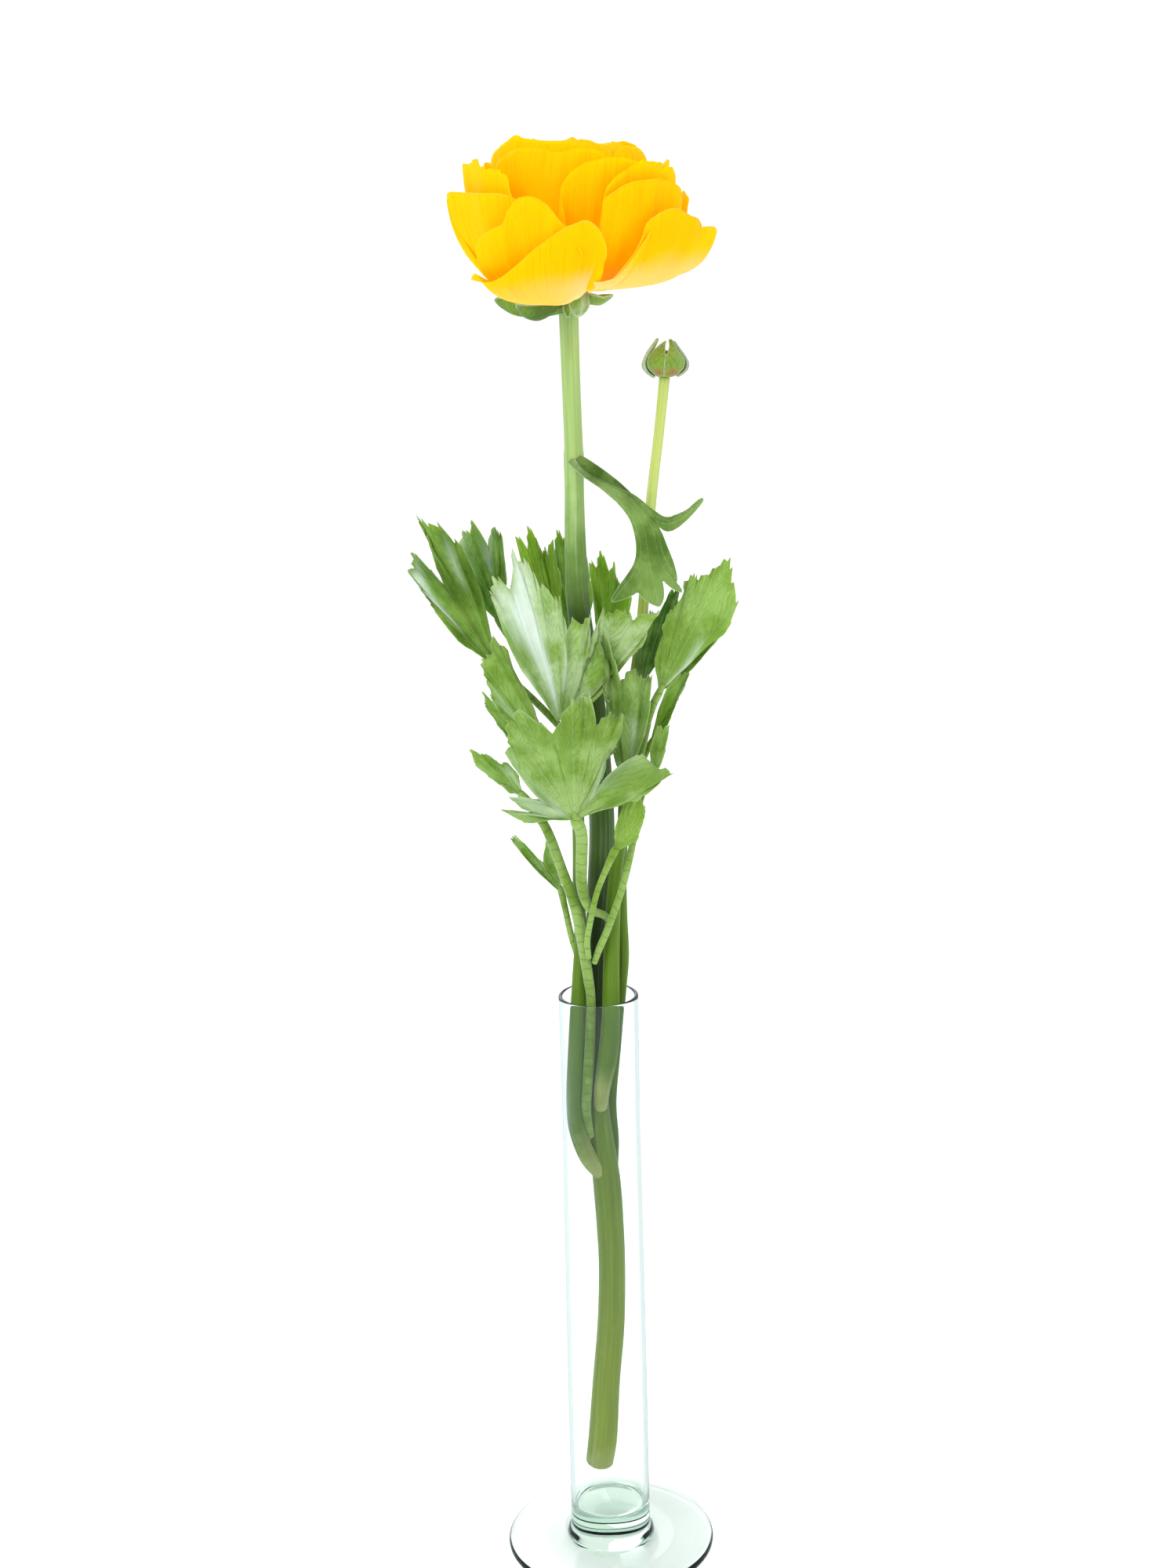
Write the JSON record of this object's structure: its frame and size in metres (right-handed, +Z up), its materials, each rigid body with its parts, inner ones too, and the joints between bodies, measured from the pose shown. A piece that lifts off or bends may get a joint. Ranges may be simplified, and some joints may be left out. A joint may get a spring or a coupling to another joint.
{
  "type": "ranunculus flower in a tube vase",
  "caption": "Cut ranunculus bloom with a closed bud and lobed leaves, standing in a slim glass tube vase on a round glass foot.",
  "frame": {"origin": "middle of the vase's flat underside", "axes": "+Z up along the vase, -Y towards the front that the picture shows, +X to the viewer's right"},
  "size_m": [0.0988, 0.0774, 0.4458],
  "materials": {
    "vase_glass": "polished",
    "petal": "satin",
    "sepal": "satin",
    "stem": "satin",
    "bud_stalk": "satin",
    "leaf": "satin"
  },
  "bodies": {
    "root": {"bloom": "petal", "bud": "sepal", "bud_stalk": "bud_stalk", "calyx": "sepal", "flower_stem": "stem", "leaf_back_left": "leaf", "leaf_back_middle": "leaf", "leaf_back_right": "leaf", "leaf_big_front": "leaf", "leaf_far_left": "leaf", "leaf_far_left_behind": "leaf", "leaf_left_folded": "leaf", "leaf_left_low": "leaf", "leaf_left_narrow": "leaf", "leaf_left_small": "leaf", "leaf_low_front": "leaf", "leaf_middle_right": "leaf", "leaf_right": "leaf", "leaf_right_behind": "leaf", "leaf_right_edge": "leaf", "leaf_right_low": "leaf", "leaf_right_small": "leaf", "leaf_spoon": "leaf", "leaf_upper": "leaf", "left_shoot": "stem", "right_shoot": "stem", "vase": "vase_glass"}
  },
  "joints": []
}
